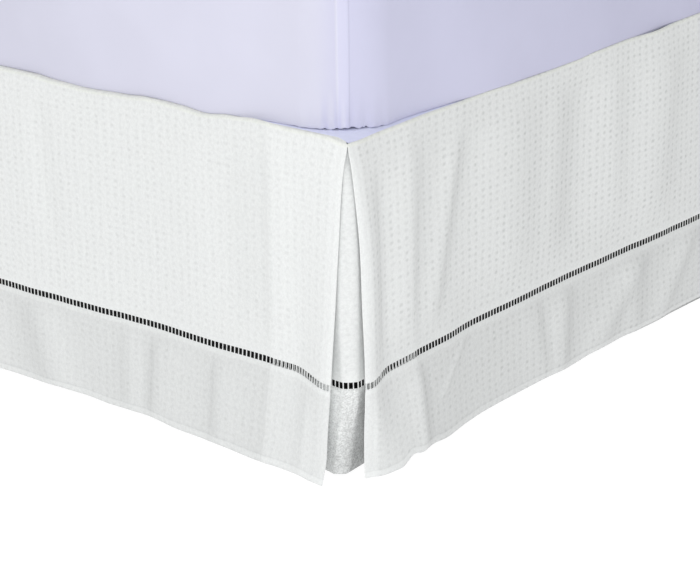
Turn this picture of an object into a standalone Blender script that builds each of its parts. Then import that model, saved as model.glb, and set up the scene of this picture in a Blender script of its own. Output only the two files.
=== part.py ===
"""A tailored bed skirt with split corners, hanging round the plain base of a queen bed.

Metres, +Z up. The origin is on the floor, in the middle of the centre foot's underside.
X runs across the bed and +Y runs to the head, the end that the skirt leaves open.
The skirt is a deck that lies on the base, three panels that hang from the deck's edge,
and a gusset behind the slit between two panels at each foot corner.
"""
from collections import namedtuple
import math

import bmesh
import bpy
from mathutils import Vector

COLLECTION = "bed_skirt"

# Driving dimensions
BED_WIDTH = 1.524           # across the bed, over the seam line
BED_LENGTH = 2.032          # along the bed
DROP = 0.381                # floor to the seam line, the skirt's nominal drop
CLOTH = 0.002               # the skirt's cloth
GAP = 0.0003                # left between pieces that touch
HEM_GAP = 0.004             # floor to the panels' hem
LADDER = 0.1165             # floor to the middle of the open hemstitch row
LADDER_HALF = 0.0035        # half the height of that row
LADDER_SUNK = 0.0008        # how far the row's thinned cloth lies back
SEAM_TURN = 0.008           # cloth turned in over the edge, up to the deck's seam
EDGE_RADIUS = 0.0035        # outer radius of that turn
SLACK_LADDER = 0.001        # plain outward hang of a panel at the hemstitch row
SLACK_HEM = 0.004           # and at its hem

GUSSET_LEG = 0.108          # a gusset reaches this far behind each panel
GUSSET_START = 0.020        # its flat legs start this far from the corner
GUSSET_HEM_GAP = 0.011      # it hangs a little shorter than the panels
GUSSET_CORNER = 0.013       # outer radius of its bend at the corner
GUSSET_REACH = 0.095        # its bulge dies out this far from the corner

BASE_INSET = 0.009          # seam line to the base's side
BASE_CORNER = 0.045         # radius of the base's upright corners
BASE_EDGE = 0.010           # radius of its other edges
FOOT_HEIGHT = 0.050
FOOT_RADIUS = 0.028
FOOT_TOE = 0.022            # radius where it meets the floor
FEET_X = (-0.66, 0.0, 0.66)
FEET_Y = (-0.91, 0.0, 0.91)

MATTRESS_INSET = 0.004      # seam line to the mattress's side
MATTRESS_HEIGHT = 0.250
MATTRESS_CORNER = 0.095     # radius of its upright corners
MATTRESS_TOP = 0.035        # radius of its top edge
MATTRESS_FOOT = 0.009       # radius of its bottom edge

# How a panel hangs beside a slit, by height above the floor. curl is the outward push
# of the free edge, flare that of the whole end, and edge how far the free edge stays
# from the corner of the bed.
Slit = namedtuple("Slit", "height curl flare edge")
SLIT_FOOT = (
    Slit(0.3810, 0.0000, 0.0000, 0.0025),
    Slit(0.3400, 0.0035, 0.0005, 0.0030),
    Slit(0.2700, 0.0110, 0.0010, 0.0035),
    Slit(0.2000, 0.0170, 0.0018, 0.0030),
    Slit(0.1165, 0.0230, 0.0030, 0.0050),
    Slit(0.0600, 0.0150, 0.0125, 0.0070),
    Slit(0.0040, 0.0050, 0.0240, 0.0135),
)
SLIT_SIDE = (
    Slit(0.3810, 0.0000, 0.0000, 0.0025),
    Slit(0.3400, 0.0045, 0.0010, 0.0070),
    Slit(0.2700, 0.0105, 0.0030, 0.0025),
    Slit(0.2000, 0.0135, 0.0055, -0.0025),
    Slit(0.1165, 0.0150, 0.0090, -0.0055),
    Slit(0.0600, 0.0030, 0.0165, 0.0010),
    Slit(0.0040, -0.0160, 0.0240, 0.0090),
)
HEAD_END = (
    Slit(0.3810, 0.0000, 0.0000, 0.0000),
    Slit(0.0040, 0.0030, 0.0030, 0.0000),
)
CURL_REACH = {"foot": 0.075, "side": 0.060}     # along the panel, from its free edge
FLARE_REACH = {"foot": 0.400, "side": 0.260}

# How far a gusset's bend stands out behind each panel, by height above the floor
Bend = namedtuple("Bend", "height foot side")
GUSSET_BENDS = (
    Bend(0.3775, 0.0000, 0.0000),
    Bend(0.3400, 0.0020, 0.0020),
    Bend(0.2700, 0.0060, 0.0060),
    Bend(0.2000, 0.0105, 0.0100),
    Bend(0.1165, 0.0175, 0.0150),
    Bend(0.0600, 0.0180, 0.0090),
    Bend(0.0110, 0.0180, 0.0030),
)

# Soft upright folds. place is the distance from the panel's first corner, width the
# fold's half width, the next three its outward push, and lean its shift from top to hem.
Fold = namedtuple("Fold", "place width seam ladder hem lean")
FOLDS_FOOT = (
    Fold(0.195, 0.045, 0.0005, 0.0020, 0.0010, 0.000),
    Fold(0.240, 0.024, 0.0000, 0.0005, 0.0030, 0.000),
    Fold(0.325, 0.026, 0.0000, 0.0008, 0.0032, 0.005),
    Fold(0.450, 0.040, 0.0012, 0.0026, 0.0036, -0.020),
    Fold(0.600, 0.050, 0.0005, 0.0022, 0.0030, 0.015),
    Fold(0.745, 0.032, 0.0000, 0.0015, 0.0040, -0.010),
    Fold(0.880, 0.045, 0.0008, 0.0026, 0.0034, 0.010),
    Fold(1.020, 0.030, 0.0000, 0.0012, 0.0036, -0.008),
    Fold(1.150, 0.042, 0.0008, 0.0024, 0.0030, 0.012),
    Fold(1.310, 0.040, 0.0004, 0.0018, 0.0020, 0.000),
)
FOLDS_SIDE_RIGHT = (
    Fold(0.180, 0.030, 0.0012, 0.0026, 0.0010, -0.030),
    Fold(0.315, 0.050, 0.0014, 0.0030, 0.0016, 0.000),
    Fold(0.390, 0.024, 0.0000, 0.0010, 0.0042, 0.012),
    Fold(0.495, 0.034, 0.0012, 0.0026, 0.0040, 0.010),
    Fold(0.590, 0.036, 0.0026, 0.0030, 0.0036, -0.015),
    Fold(0.740, 0.048, 0.0006, 0.0028, 0.0030, 0.010),
    Fold(0.880, 0.034, 0.0000, 0.0016, 0.0044, -0.012),
    Fold(1.030, 0.050, 0.0010, 0.0030, 0.0034, 0.008),
    Fold(1.190, 0.036, 0.0004, 0.0018, 0.0040, 0.014),
    Fold(1.350, 0.052, 0.0008, 0.0028, 0.0028, -0.010),
    Fold(1.520, 0.036, 0.0000, 0.0020, 0.0044, 0.010),
    Fold(1.680, 0.046, 0.0010, 0.0026, 0.0030, 0.000),
    Fold(1.840, 0.036, 0.0002, 0.0016, 0.0038, -0.010),
)
FOLDS_SIDE_LEFT = (
    Fold(0.210, 0.040, 0.0008, 0.0026, 0.0016, 0.020),
    Fold(0.350, 0.034, 0.0004, 0.0018, 0.0040, -0.010),
    Fold(0.500, 0.050, 0.0010, 0.0030, 0.0030, 0.010),
    Fold(0.650, 0.034, 0.0000, 0.0014, 0.0042, 0.012),
    Fold(0.800, 0.046, 0.0010, 0.0028, 0.0030, -0.014),
    Fold(0.970, 0.036, 0.0006, 0.0020, 0.0042, 0.000),
    Fold(1.120, 0.050, 0.0008, 0.0030, 0.0028, 0.012),
    Fold(1.290, 0.036, 0.0000, 0.0016, 0.0044, -0.010),
    Fold(1.450, 0.046, 0.0010, 0.0028, 0.0034, 0.008),
    Fold(1.620, 0.034, 0.0004, 0.0018, 0.0042, 0.010),
    Fold(1.790, 0.044, 0.0008, 0.0024, 0.0030, -0.008),
)

# Where the sheets' rows and columns of faces lie
ROW_HEIGHTS = (0.340, 0.270, 0.200, LADDER + LADDER_HALF, LADDER, LADDER - LADDER_HALF, 0.060)
END_COLUMNS = (0.0, 0.012, 0.024, 0.036, 0.048, 0.060, 0.075, 0.090, 0.108, 0.135)
COLUMN_PITCH = 0.036        # away from a panel's ends
GUSSET_COLUMNS = tuple(place for place in END_COLUMNS if GUSSET_START < place <= GUSSET_LEG)
BEND_STEPS = 5              # faces round a gusset's bend
SHIFT_REACH = 0.100         # a free edge's sideways shift dies out over this length

# A side of the bed: corner is where the panel starts, at floor height, along runs down
# its length and outward away from the bed. first and last say how its ends hang.
Side = namedtuple("Side", "name kind corner along outward length first last folds")
SIDES = (
    Side("foot_panel", "foot", Vector((BED_WIDTH / 2, -BED_LENGTH / 2, 0)), Vector((-1, 0, 0)),
         Vector((0, -1, 0)), BED_WIDTH, SLIT_FOOT, SLIT_FOOT, FOLDS_FOOT),
    Side("side_panel_right", "side", Vector((BED_WIDTH / 2, -BED_LENGTH / 2, 0)), Vector((0, 1, 0)),
         Vector((1, 0, 0)), BED_LENGTH, SLIT_SIDE, HEAD_END, FOLDS_SIDE_RIGHT),
    Side("side_panel_left", "side", Vector((-BED_WIDTH / 2, -BED_LENGTH / 2, 0)), Vector((0, 1, 0)),
         Vector((-1, 0, 0)), BED_LENGTH, SLIT_SIDE, HEAD_END, FOLDS_SIDE_LEFT),
)

CREASE = math.radians(40)   # edges sharper than this are drawn sharp

Look = namedtuple("Look", "name colour roughness")
PIQUE = Look("white_pique", (0.80, 0.81, 0.80, 1), 0.85)
DECK_CLOTH = Look("deck_cloth", (0.62, 0.64, 0.80, 1), 0.85)
COVER = Look("mattress_cover", (0.70, 0.70, 0.83, 1), 0.80)
BASE_CLOTH = Look("base_cloth", (0.020, 0.020, 0.022, 1), 0.90)
DARK_WOOD = Look("dark_wood", (0.030, 0.022, 0.018, 1), 0.50)


def material(look):
    """The material of that look, made on first use."""
    found = bpy.data.materials.get(look.name)
    if found:
        return found
    made = bpy.data.materials.new(look.name)
    made.use_nodes = True
    shader = made.node_tree.nodes["Principled BSDF"]
    shader.inputs["Base Color"].default_value = look.colour
    shader.inputs["Roughness"].default_value = look.roughness
    shader.inputs["Metallic"].default_value = 0.0
    return made


def add_part(name, shape, look):
    """One named object of the bed skirt, from a bmesh that this uses up."""
    mesh = bpy.data.meshes.new(name)
    shape.to_mesh(mesh)
    shape.free()
    mesh.shade_smooth()
    mesh.set_sharp_from_angle(angle=CREASE)
    mesh.materials.append(material(look))
    part = bpy.data.objects.new(name, mesh)
    bpy.data.collections[COLLECTION].objects.link(part)
    return part


def ease(amount):
    """0 to 1, with no slope at either end."""
    amount = min(1.0, max(0.0, amount))
    return amount * amount * (3.0 - 2.0 * amount)


def at_height(rows, height):
    """The row of a table at this height, read smoothly between the rows given."""
    if height >= rows[0].height:
        return rows[0]
    for upper, lower in zip(rows, rows[1:]):
        if height >= lower.height:
            share = (upper.height - height) / (upper.height - lower.height)
            return type(upper)(*(a + (b - a) * share for a, b in zip(upper, lower)))
    return rows[-1]


def by_height(height, seam, ladder, hem):
    """A push given at the seam, the hemstitch row and the hem, read at this height."""
    if height >= LADDER:
        share = (DROP - height) / (DROP - LADDER)
        return seam + (ladder - seam) * share
    share = (LADDER - height) / (LADDER - HEM_GAP)
    return ladder + (hem - ladder) * share


def fold_push(folds, place, height):
    """The outward push of all the folds at one point of a panel."""
    push = 0.0
    for fold in folds:
        middle = fold.place + fold.lean * (DROP / 2 - height) / DROP
        shape = math.exp(-((place - middle) / fold.width) ** 2)
        push += shape * by_height(height, fold.seam, fold.ladder, fold.hem)
    return push


def ladder_dip(height):
    """How far the hemstitch row lies back from the cloth around it."""
    return LADDER_SUNK if abs(height - LADDER) < LADDER_HALF / 2 else 0.0


def outward(side, place, height):
    """How far a panel's face stands out from the seam line."""
    push = by_height(height, 0.0, SLACK_LADDER, SLACK_HEM)
    for ends, distance in ((side.first, place), (side.last, side.length - place)):
        slit = at_height(ends, height)
        push += slit.curl * ease(1 - distance / CURL_REACH[side.kind])
        push += slit.flare * ease(1 - distance / FLARE_REACH[side.kind])
    return push + fold_push(side.folds, place, height) - ladder_dip(height)


def columns(side):
    """Distances along a panel, close together at its slit ends."""
    start = list(END_COLUMNS)
    end = [side.length - place for place in reversed(END_COLUMNS)]
    if side.last is HEAD_END:
        end = [side.length]
    span = end[0] - start[-1]
    steps = round(span / COLUMN_PITCH)
    middle = [start[-1] + span * step / steps for step in range(1, steps)]
    return start + middle + end


def panel_rows():
    """(set back from the panel's face, height) down a panel, from its seam to its hem."""
    centre = DROP - EDGE_RADIUS
    slope = EDGE_RADIUS * (1 - math.cos(math.pi / 4))
    rows = [(SEAM_TURN, DROP), (EDGE_RADIUS, DROP), (slope, DROP - slope), (0.0, centre)]
    return rows + [(0.0, height) for height in (*ROW_HEIGHTS, HEM_GAP)]


def panel_point(side, place, set_back, height):
    """A point of a panel's outer face. The turned-in cloth is mitred at the corners."""
    shift = 0.0
    for sign, ends, distance in ((1, side.first, place), (-1, side.last, side.length - place)):
        mitre = 0.0 if ends is HEAD_END else set_back
        inward = at_height(ends, height).edge + mitre
        shift += sign * inward * max(0.0, 1 - distance / SHIFT_REACH)
    push = outward(side, place, height) - set_back
    return side.corner + side.along * (place + shift) + side.outward * push + Vector((0, 0, height))


def gusset_legs(height):
    """(distance from the corner, outward push behind the foot, and behind the side)."""
    bend = at_height(GUSSET_BENDS, height)
    dip = ladder_dip(height)
    back = CLOTH + GAP + dip
    legs = []
    for distance in reversed(GUSSET_COLUMNS):
        bulge = ease(1 - distance / GUSSET_REACH)
        legs.append((distance, bend.foot * bulge - back, bend.side * bulge - back))
    return legs, bend.foot - back, bend.side - back


def gusset_outline(height):
    """The gusset's outer face in plan: (along the foot, outward) from the bed's corner.

    The first number grows out past the side of the bed, the second out past its foot.
    """
    legs, foot_push, side_push = gusset_legs(height)
    outline = [(-distance, foot) for distance, foot, _ in legs]
    centre = (side_push - GUSSET_CORNER, foot_push - GUSSET_CORNER)
    for step in range(BEND_STEPS + 1):
        turn = math.pi / 2 * step / BEND_STEPS
        outline.append((centre[0] + GUSSET_CORNER * math.sin(turn),
                        centre[1] + GUSSET_CORNER * math.cos(turn)))
    outline += [(side, -distance) for distance, _, side in reversed(legs)]
    return outline


def sheet(name, rows, away, look):
    """A cloth solid: a grid bent onto rows of points, then thickened inwards.

    away points off the bed, and tells the cloth's outer face from its inner one.
    """
    shape = bmesh.new()
    across, down = len(rows[0]), len(rows)
    bmesh.ops.create_grid(shape, x_segments=across - 1, y_segments=down - 1, size=1)
    for index, vert in enumerate(shape.verts):
        vert.co = rows[index // across][index % across]
    shape.normal_update()
    facing = sum((face.normal for face in shape.faces), Vector())
    if facing.dot(away) < 0:
        bmesh.ops.reverse_faces(shape, faces=shape.faces)
    part = add_part(name, shape, look)
    thick = part.modifiers.new("cloth", "SOLIDIFY")
    thick.thickness = CLOTH
    thick.offset = -1
    thick.use_even_offset = True
    return part


def make_panel(side):
    """A panel of the skirt, from the deck's seam over the edge and down to its hem."""
    rows = [[panel_point(side, place, set_back, height) for place in columns(side)]
            for set_back, height in panel_rows()]
    return sheet(side.name, rows, side.outward, PIQUE)


def make_gusset(name, x_sign):
    """The gusset behind the slit at one foot corner of the bed."""
    rows = []
    for height in (DROP - EDGE_RADIUS, *ROW_HEIGHTS, GUSSET_HEM_GAP):
        rows.append([Vector((x_sign * (BED_WIDTH / 2 + past_side), -BED_LENGTH / 2 - past_foot, height))
                     for past_side, past_foot in gusset_outline(height)])
    return sheet(name, rows, Vector((x_sign, -1, 0)), PIQUE)


def block(low, high):
    """A box between two corners, as a bmesh."""
    shape = bmesh.new()
    bmesh.ops.create_cube(shape, size=1)
    bmesh.ops.scale(shape, vec=Vector(high) - Vector(low), verts=shape.verts)
    bmesh.ops.translate(shape, vec=(Vector(low) + Vector(high)) / 2, verts=shape.verts)
    return shape


def round_edges(shape, edges, radius, segments):
    """Rounds some edges of a bmesh."""
    bmesh.ops.bevel(shape, geom=edges, offset=radius, segments=segments, profile=0.5,
                    affect="EDGES", clamp_overlap=True)


def round_upright_edges(shape, radius, segments):
    """Rounds the four upright edges of a block."""
    upright = [edge for edge in shape.edges
               if abs(edge.verts[0].co.z - edge.verts[1].co.z) > radius]
    round_edges(shape, upright, radius, segments)


def round_rim(shape, height, radius, segments):
    """Rounds the edges that lie at one height, all the way round a block."""
    rim = [edge for edge in shape.edges
           if all(abs(vert.co.z - height) < GAP for vert in edge.verts)]
    round_edges(shape, rim, radius, segments)


def make_deck():
    """The cloth platform between base and mattress, with the panels sewn round it."""
    inset = SEAM_TURN + GAP
    low = (-BED_WIDTH / 2 + inset, -BED_LENGTH / 2 + inset, DROP - CLOTH)
    high = (BED_WIDTH / 2 - inset, BED_LENGTH / 2, DROP)
    add_part("deck", block(low, high), DECK_CLOTH)


def make_base():
    """The plain upholstered base that the skirt hides."""
    low, high = FOOT_HEIGHT + GAP, DROP - CLOTH - GAP
    half_x, half_y = BED_WIDTH / 2 - BASE_INSET, BED_LENGTH / 2 - BASE_INSET
    shape = block((-half_x, -half_y, low), (half_x, half_y, high))
    round_upright_edges(shape, BASE_CORNER, segments=5)
    for height in (low, high):
        round_rim(shape, height, BASE_EDGE, segments=2)
    add_part("base", shape, BASE_CLOTH)


def make_mattress():
    """The plain covered mattress that holds the deck down."""
    low, high = DROP + GAP, DROP + GAP + MATTRESS_HEIGHT
    half_x, half_y = BED_WIDTH / 2 - MATTRESS_INSET, BED_LENGTH / 2 - MATTRESS_INSET
    shape = block((-half_x, -half_y, low), (half_x, half_y, high))
    round_upright_edges(shape, MATTRESS_CORNER, segments=8)
    round_rim(shape, high, MATTRESS_TOP, segments=4)
    round_rim(shape, low, MATTRESS_FOOT, segments=2)
    add_part("mattress", shape, COVER)


def make_feet():
    """Three rows of three turned feet, the middle one on the origin."""
    for row, y in enumerate(FEET_Y, start=1):
        for column, x in enumerate(FEET_X, start=1):
            shape = bmesh.new()
            bmesh.ops.create_cone(shape, cap_ends=True, segments=16, radius1=FOOT_TOE,
                                  radius2=FOOT_RADIUS, depth=FOOT_HEIGHT)
            bmesh.ops.translate(shape, vec=(0, 0, FOOT_HEIGHT / 2), verts=shape.verts)
            foot = add_part(f"base_foot_{row}_{column}", shape, DARK_WOOD)
            foot.location = (x, y, 0)


def clear_scene():
    """Empties the scene and gives it the skirt's collection."""
    for thing in list(bpy.data.objects):
        bpy.data.objects.remove(thing, do_unlink=True)
    collection = bpy.data.collections.new(COLLECTION)
    bpy.context.scene.collection.children.link(collection)


def main():
    clear_scene()
    make_base()
    make_feet()
    make_deck()
    for side in SIDES:
        make_panel(side)
    make_gusset("corner_gusset_right", 1)
    make_gusset("corner_gusset_left", -1)
    make_mattress()


main()
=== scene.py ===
"""The looks of a tailored bed skirt, on the plain bed base and mattress that it dresses.

The skirt's panels, gussets and deck, the mattress cover, the base and its feet are built
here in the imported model's own frame, each in the place of its solid. Metres, +Z up; the
bed's head is at +Y. The panels repeat the hang that the solids have, with finer folds.
"""
from collections import namedtuple
from functools import reduce
import math

import bpy
import numpy as np
from mathutils import Matrix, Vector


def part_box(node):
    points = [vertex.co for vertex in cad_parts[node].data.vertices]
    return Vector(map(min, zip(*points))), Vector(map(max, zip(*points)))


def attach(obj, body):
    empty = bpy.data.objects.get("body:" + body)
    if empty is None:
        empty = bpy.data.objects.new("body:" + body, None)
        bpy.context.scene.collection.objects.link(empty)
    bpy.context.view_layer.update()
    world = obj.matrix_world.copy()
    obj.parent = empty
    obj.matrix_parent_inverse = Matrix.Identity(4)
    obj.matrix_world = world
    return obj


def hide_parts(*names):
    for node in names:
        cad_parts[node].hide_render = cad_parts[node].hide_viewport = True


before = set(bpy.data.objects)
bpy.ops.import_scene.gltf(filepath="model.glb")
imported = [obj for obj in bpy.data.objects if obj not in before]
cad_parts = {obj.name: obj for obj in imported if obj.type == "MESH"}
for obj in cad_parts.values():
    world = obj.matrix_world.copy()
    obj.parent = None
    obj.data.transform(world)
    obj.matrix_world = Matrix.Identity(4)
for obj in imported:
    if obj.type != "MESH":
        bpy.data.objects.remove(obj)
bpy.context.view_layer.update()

# Driving sizes, as the solids have them
SOLID_TURN = 0.008           # the solids' cloth turned in over the edge, up to the deck
SOLID_CLOTH = 0.002          # thickness of the solids' cloth
GAP = 0.0003                 # left between pieces that touch
DECK_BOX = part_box("deck")
MATTRESS_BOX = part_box("mattress")
BASE_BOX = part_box("base")
HALF_WIDTH = DECK_BOX[1].x + SOLID_TURN + GAP
HALF_LENGTH = DECK_BOX[1].y
DROP = DECK_BOX[1].z         # floor to the seam line
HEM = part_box("foot_panel")[0].z
GUSSET_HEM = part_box("corner_gusset_right")[0].z
EDGE_RADIUS = 0.0035         # of the cloth's turn over the bed's edge
LADDER = 0.1165              # floor to the middle of the open hemstitch row
SLACK_LADDER = 0.001         # how far the panels stand out from the seam line at that row
SLACK_HEM = 0.004            # and at the hem
GUSSET_LEG = 0.108           # how far the gusset reaches behind each panel
GUSSET_REACH = 0.095         # how far from the corner its legs stand out
SHIFT_REACH = 0.100          # how far from a slit its slanting edge moves the cloth
FLARE_REACH = {"foot": 0.400, "side": 0.260}  # how far from a slit each panel's flare runs
FOLD_DEPTH = (1.3, 1.0, 0.6)  # the folds' depth at the seam, hemstitch row and hem, of the solids'

# Sewing
PANEL_CLOTH = 0.0011
BAND_CLOTH = 0.0014          # the band is the hem turned up, double
SEAM_TURN = {"foot": 0.0085, "side": 0.0030}  # cloth turned in over the edge, to the seam
LADDER_HALF = 0.0042         # half the height of its holes
LADDER_PITCH = 0.0057        # from bar to bar
GUSSET_PITCH = 0.0056
GUSSET_BAR = 0.85            # width of its bars, of the panels'
END_BAR_SCALE = 1.3          # width of the bar beside a slit, of the others
BAR_WIDTH = 0.0016
BAR_DEPTH = 0.0009
BAR_SIDES = 6
BAR_SINK = 0.55              # how deep the bars lie in the cloth, of its thickness
BAR_SHAPE = ((1.28, 1.25), (0.85, 1.0), (0.0, 0.86), (-0.85, 1.0), (-1.28, 1.25))  # height, width
HEM_FOLD = 0.0075            # height of the narrow fold along the hem
SIDE_HEM = 0.0080            # width of the hem down a slit
HEM_RISE = 0.0004            # how far a turned hem stands proud
CLOSE_COLUMNS = 0.009        # a panel's columns lie closer within this distance of its ends
END_BAR = 0.0011             # from a slit to the middle of the wider bar beside it
GUSSET_TURN = 0.0015         # radius of the gusset's edge, turned in under the panels
GUSSET_DIP = 0.0036          # how far it sags with them at the corner
ROW_PITCH = 0.0058           # height of the meshes' rows
FOLD_PAIR = 0.0006           # the close pair of rows lies this far over and under a fold's line
FOLD_SOFT = 0.0008           # length of a turned hem's step


def table(kind, rows):
    """Rows of numbers as named tuples of that kind."""
    return tuple(kind(*row) for row in rows)


# How a panel hangs beside a slit, as in the solids' source, with two finer things: how
# steeply the hem down the slit rolls in, and how wide that rolled strip is
Slit = namedtuple("Slit", "height curl reach flare edge roll strip")
SLIT_FOOT = table(Slit, (
    (0.381, 0, 0.09, 0, -0.0014, 0, 0.006),
    (0.374, 0.0006, 0.09, 0.0001, -0.001, 0, 0.006),
    (0.34, 0.0045, 0.082, 0.0005, 0.0012, 0.1, 0.006),
    (0.27, 0.0115, 0.08, 0.001, 0.0018, 0.2, 0.006),
    (0.2, 0.0175, 0.077, 0.0018, 0.0022, 0.2, 0.006),
    (0.1165, 0.024, 0.075, 0.003, 0.004, 0.3, 0.006),
    (0.064, 0.0155, 0.08, 0.012, 0.0074, 0.2, 0.006),
    (0.027, 0.0095, 0.08, 0.0185, 0.0092, 0.15, 0.006),
    (0.004, 0.005, 0.08, 0.024, 0.013, 0.1, 0.006),
))
SLIT_SIDE = table(Slit, (
    (0.381, 0.0028, 0.06, 0, 0.0001, 0, 0.008),
    (0.374, 0.0032, 0.06, 0.0001, 0.0004, 0.05, 0.008),
    (0.34, 0.0058, 0.06, 0.001, 0.0036, 0.35, 0.008),
    (0.27, 0.012, 0.06, 0.003, 0.0066, 0.55, 0.011),
    (0.2, 0.015, 0.06, 0.0055, 0.004, 0.6, 0.012),
    (0.1165, 0.0165, 0.06, 0.009, -0.002, 0.5, 0.01),
    (0.06, 0.006, 0.06, 0.0165, 0.004, 0.55, 0.019),
    (0.004, -0.013, 0.06, 0.024, 0.0105, 0.3, 0.02),
))
HEAD_END = table(Slit, (
    (0.381, 0, 0.06, 0, 0, 0, 0.006),
    (0.004, 0.003, 0.06, 0.003, 0, 0, 0.006),
))
# How far the gusset stands out past each panel's seam line, how far its corner's bend runs
# along the foot and along the side, and how far its leg behind the side panel turns in
# (drawn: 1 makes the bend a quarter of an ellipse, 2 a straight line across the corner)
Bend = namedtuple("Bend", "height foot side across deep drawn dive")
GUSSET_BENDS = table(Bend, (
    (0.3775, 0, 0, 0.005, 0.008, 1.45, 0),
    (0.34, 0.0048, 0.0052, 0.006, 0.009, 1.45, 0),
    (0.27, 0.0114, 0.0098, 0.011, 0.016, 1.45, 0),
    (0.2, 0.0164, 0.013, 0.013, 0.018, 1.45, 0),
    (0.15, 0.017, 0.015, 0.013, 0.016, 1.45, 0),
    (0.124, 0.0165, 0.016, 0.013, 0.0128, 1.5, 0),
    (0.109, 0.0165, 0.016, 0.013, 0.0128, 1.5, 0),
    (0.096, 0.0158, 0.0141, 0.012, 0.0121, 1.75, 0.0006),
    (0.06, 0.0158, 0.0078, 0.012, 0.009, 1.85, 0.0018),
    (0.011, 0.0159, -0.0002, 0.0115, 0.0087, 1.8, 0.0026),
))
GUSSET_STEPS = (34, 18, 38)  # columns of its mesh: foot leg, corner, side leg
GUSSET_CREASE = 0.034        # how far past the crease that leg turns in
LEG_CLOSE = {"foot": 0.052, "side": 0.040}  # along each leg, where it lies close behind the panel
CLOSE_REACH = 0.050          # above and below the row of holes

# The main soft upright folds, as in the solids
Fold = namedtuple("Fold", "place width seam ladder hem lean")
FOLDS_FOOT = table(Fold, (
    (0.195, 0.045, 0.0005, 0.002, 0.001, 0),
    (0.24, 0.024, 0, 0.0005, 0.003, 0),
    (0.325, 0.026, 0, 0.0008, 0.0032, 0.005),
    (0.45, 0.04, 0.0012, 0.0026, 0.0036, -0.02),
    (0.6, 0.05, 0.0005, 0.0022, 0.003, 0.015),
    (0.745, 0.032, 0, 0.0015, 0.004, -0.01),
    (0.88, 0.045, 0.0008, 0.0026, 0.0034, 0.01),
    (1.02, 0.03, 0, 0.0012, 0.0036, -0.008),
    (1.15, 0.042, 0.0008, 0.0024, 0.003, 0.012),
    (1.31, 0.04, 0.0004, 0.0018, 0.002, 0),
))
FOLDS_SIDE_RIGHT = table(Fold, (
    (0.18, 0.03, 0.0012, 0.0026, 0.001, -0.03),
    (0.315, 0.05, 0.0014, 0.003, 0.0016, 0),
    (0.39, 0.024, 0, 0.001, 0.0042, 0.012),
    (0.495, 0.034, 0.0012, 0.0026, 0.004, 0.01),
    (0.59, 0.036, 0.0026, 0.003, 0.0036, -0.015),
    (0.74, 0.048, 0.0006, 0.0028, 0.003, 0.01),
    (0.88, 0.034, 0, 0.0016, 0.0044, -0.012),
    (1.03, 0.05, 0.001, 0.003, 0.0034, 0.008),
    (1.19, 0.036, 0.0004, 0.0018, 0.004, 0.014),
    (1.35, 0.052, 0.0008, 0.0028, 0.0028, -0.01),
    (1.52, 0.036, 0, 0.002, 0.0044, 0.01),
    (1.68, 0.046, 0.001, 0.0026, 0.003, 0),
    (1.84, 0.036, 0.0002, 0.0016, 0.0038, -0.01),
))
FOLDS_SIDE_LEFT = table(Fold, (
    (0.21, 0.04, 0.0008, 0.0026, 0.0016, 0.02),
    (0.35, 0.034, 0.0004, 0.0018, 0.004, -0.01),
    (0.5, 0.05, 0.001, 0.003, 0.003, 0.01),
    (0.65, 0.034, 0, 0.0014, 0.0042, 0.012),
    (0.8, 0.046, 0.001, 0.0028, 0.003, -0.014),
    (0.97, 0.036, 0.0006, 0.002, 0.0042, 0),
    (1.12, 0.05, 0.0008, 0.003, 0.0028, 0.012),
    (1.29, 0.036, 0, 0.0016, 0.0044, -0.01),
    (1.45, 0.046, 0.001, 0.0028, 0.0034, 0.008),
    (1.62, 0.034, 0.0004, 0.0018, 0.0042, 0.01),
    (1.79, 0.044, 0.0008, 0.0024, 0.003, -0.008),
))

# Finer ridges (depth over 0) and troughs. place is the distance from the panel's first
# corner half-way up the crease, slant how far it moves along from low to high; near and far
# are the widths of its two flanks. It lies in the band unless low and high say otherwise.
Crease = namedtuple("Crease", "place slant near far depth low high", defaults=(-0.006, 0.113))
CREASES_FOOT = table(Crease, (
    (0.1, 0, 0.04, 0.012, 0.0012, 0.12, 0.375),
    (0.166, 0.004, 0.03, 0.04, -0.0016, 0.13, 0.375),
    (0.447, 0.022, 0.016, 0.02, -0.0012, 0.17, 0.375),
    (0.7, 0.02, 0.04, 0.016, 0.0016, 0.15, 0.37),
    (1.18, -0.02, 0.02, 0.04, 0.0018, 0.15, 0.37),
    (0.04, 0, 0.01, 0.01, 0.0011, -0.01, 0.112),
    (0.18, 0, 0.03, 0.01, 0.0025),
    (0.278, -0.004, 0.04, 0.011, 0.0035),
    (0.322, 0.006, 0.015, 0.014, 0.0018),
    (0.456, 0.035, 0.032, 0.03, 0.0052, -0.006, 0.114),
    (0.56, 0.02, 0.03, 0.018, 0.0036),
    (0.69, 0.06, 0.034, 0.02, 0.0046),
    (0.83, -0.02, 0.02, 0.03, 0.004),
    (1.09, 0.024, 0.04, 0.014, 0.004),
    (1.24, 0.07, 0.03, 0.024, 0.0046),
))
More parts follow.
